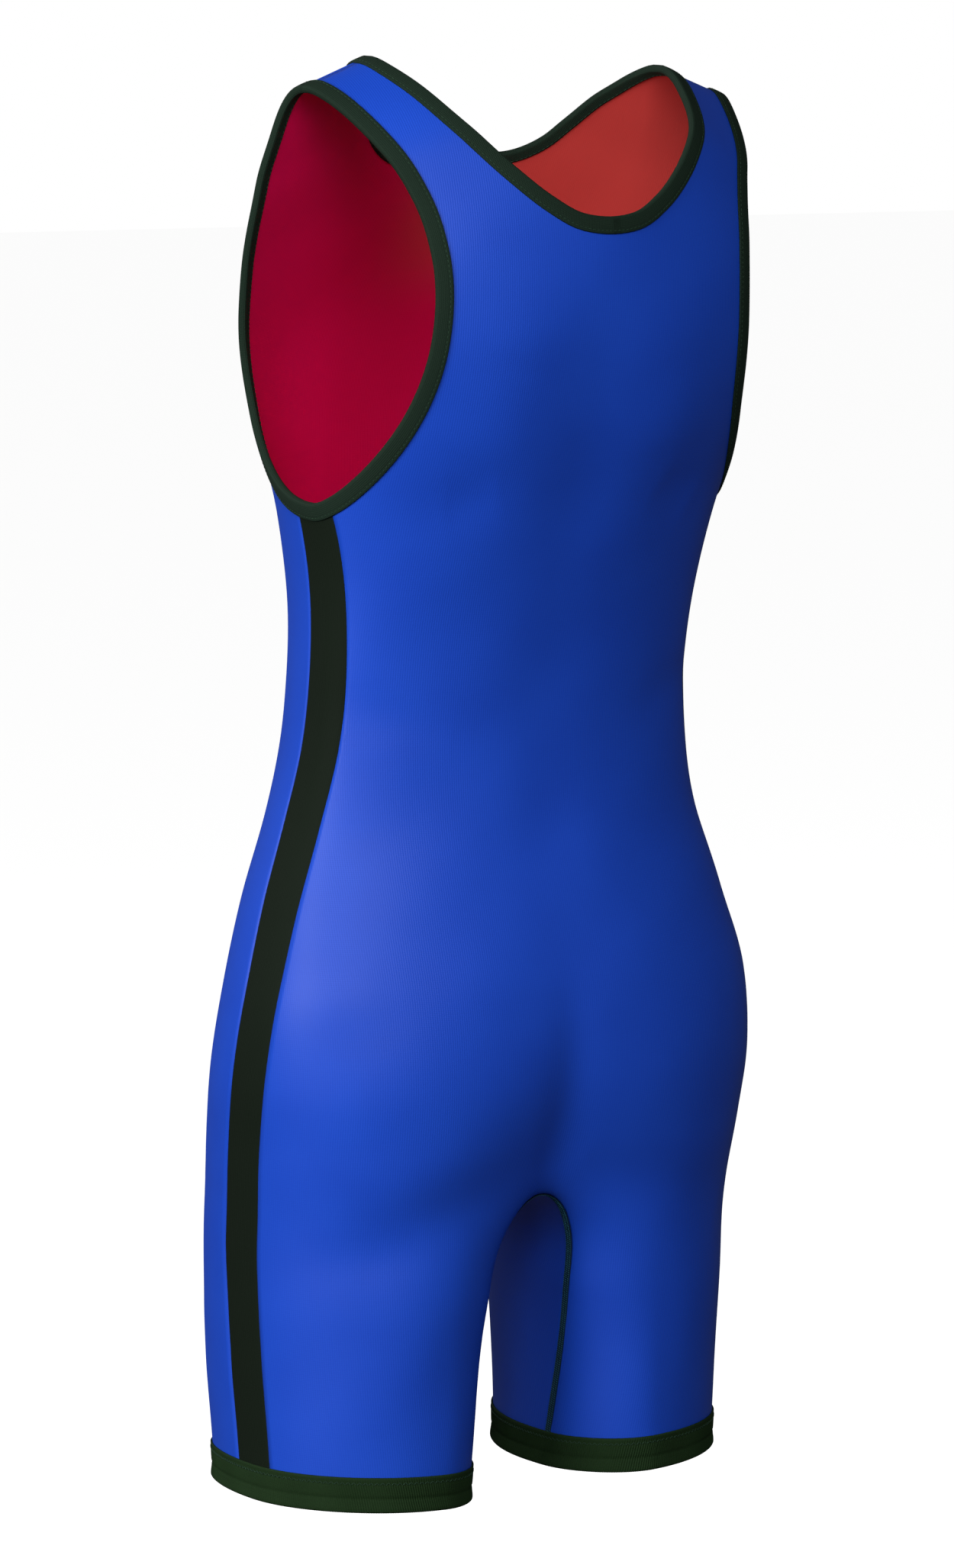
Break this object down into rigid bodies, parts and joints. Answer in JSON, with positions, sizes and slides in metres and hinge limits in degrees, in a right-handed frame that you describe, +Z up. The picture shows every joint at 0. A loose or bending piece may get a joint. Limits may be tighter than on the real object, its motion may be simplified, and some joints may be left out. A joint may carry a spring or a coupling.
{
  "type": "wrestling singlet",
  "caption": "Reversible sleeveless one-piece sports suit: two cloth layers, wide shoulder straps, bound neck and armholes, side stripes and banded thigh-length legs.",
  "frame": {"origin": "under the shoulder straps, on the shoulder line, midway between the two straps, where the wearer's shoulders carry the garment", "axes": "+Z up towards the straps, -Y the way the wearer faces, +X the wearer's left"},
  "size_m": [0.3482, 0.2612, 0.8554],
  "materials": {
    "outer_knit": "smooth royal-blue nylon and elastane knit with a soft sheen",
    "inner_knit": "smooth crimson nylon and elastane knit",
    "stripe_knit": "dark green knit",
    "binding_tape": "dark green folded elastic tape",
    "rib_band": "dark green ribbed elastic"
  },
  "bodies": {
    "root": {"front_panel": "outer_knit", "back_panel": "outer_knit", "front_lining": "inner_knit", "back_lining": "inner_knit", "side_stripe_left": "stripe_knit", "side_stripe_right": "stripe_knit", "neck_binding": "binding_tape", "armhole_binding_left": "binding_tape", "armhole_binding_right": "binding_tape", "leg_band_left": "rib_band", "leg_band_right": "rib_band"}
  },
  "joints": []
}
